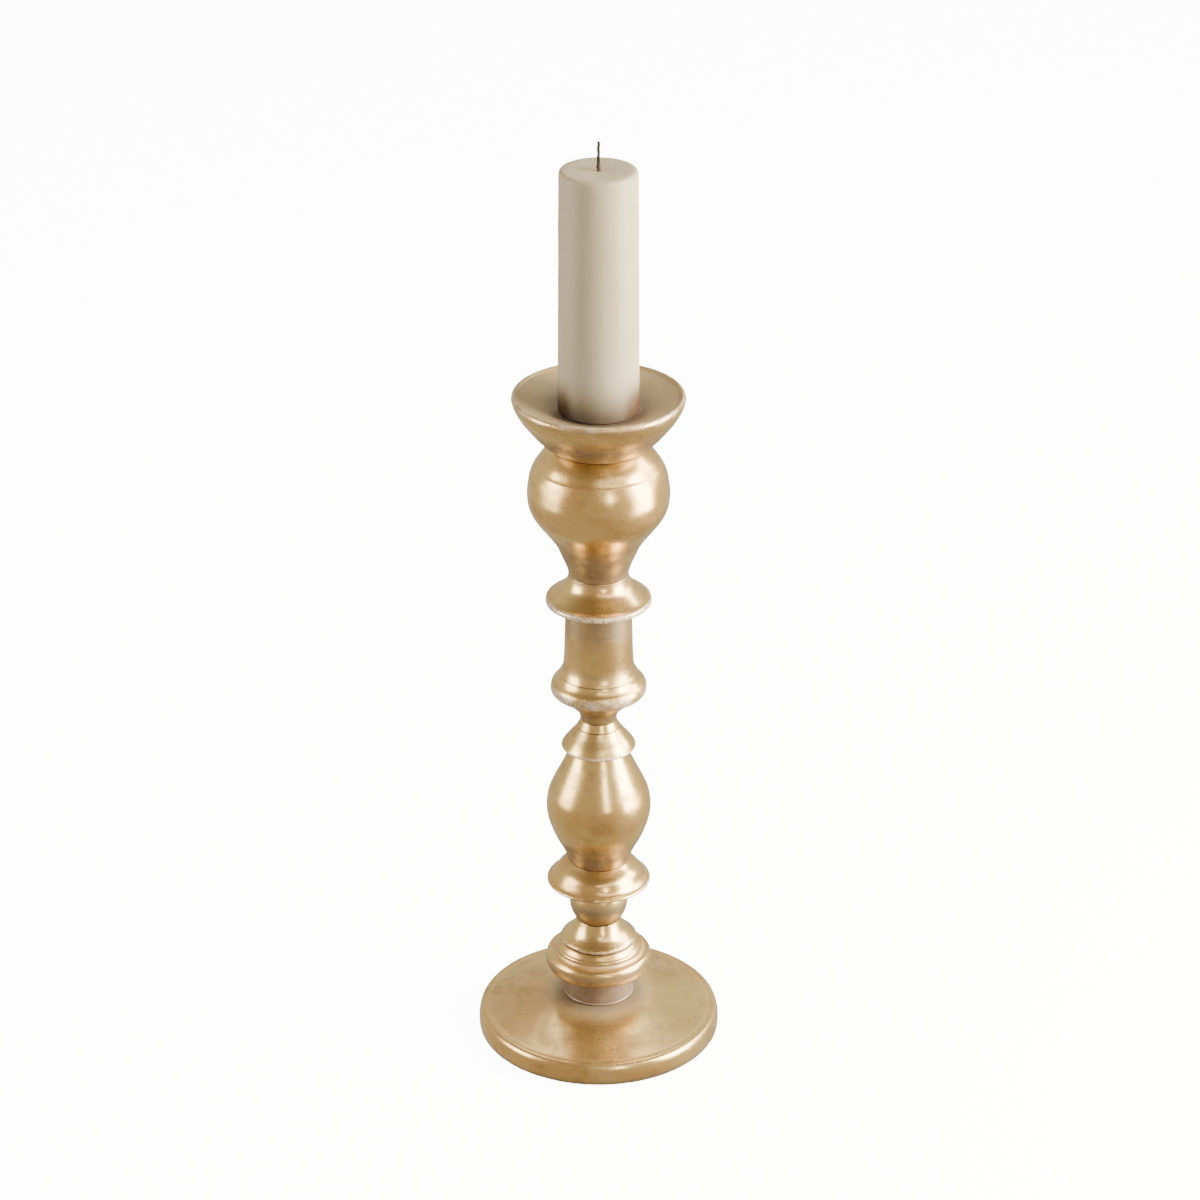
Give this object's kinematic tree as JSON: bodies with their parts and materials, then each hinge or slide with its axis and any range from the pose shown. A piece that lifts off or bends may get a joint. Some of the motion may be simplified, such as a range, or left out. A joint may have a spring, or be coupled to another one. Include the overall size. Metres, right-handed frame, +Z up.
{
  "type": "altar candlestick",
  "caption": "Tall turned candlestick in antique gilt brass: domed disc foot, stacked stem mouldings, flared drip pan, and a pillar candle that lifts off its spike.",
  "frame": {"origin": "centre of the felt face that stands on the table", "axes": "+Z up along the tie rod, which is the axis of every turned section; X and Y are free, because the object is round"},
  "size_m": [0.1596, 0.1596, 0.6205],
  "materials": {
    "gilt": "antique gilding on brass, satin to glossy, brown patina, edges rubbed pale",
    "rubbed_gilt": "worn gilding gone to a matt, dark taupe",
    "steel": "plain bright steel fixings",
    "pricket_iron": "dark turned steel spike",
    "felt": "dark brown wool felt",
    "wax": "cream candle wax, matt, lightly translucent",
    "wick": "charred braided cotton"
  },
  "bodies": {
    "stand": {"felt_pad": "felt", "base_disc": "gilt", "foot_collar": "rubbed_gilt", "foot_ring": "gilt", "foot_bell": "gilt", "lower_knop": "gilt", "lower_saucer": "gilt", "baluster": "gilt", "bell_collar": "gilt", "neck_ferrule": "gilt", "middle_ring": "gilt", "column_sleeve": "gilt", "upper_ring": "gilt", "vase_bulb": "gilt", "drip_pan": "gilt", "base_washer": "steel", "lock_washer": "steel", "base_nut": "steel", "tie_rod": "steel", "pricket": "pricket_iron"},
    "candle": {"candle": "wax", "wick": "wick"}
  },
  "joints": [
    {"name": "candle_lift", "type": "slide", "parent": "stand", "child": "candle", "axis": [0, 0, 1], "range_m": [0, 0.06]}
  ]
}
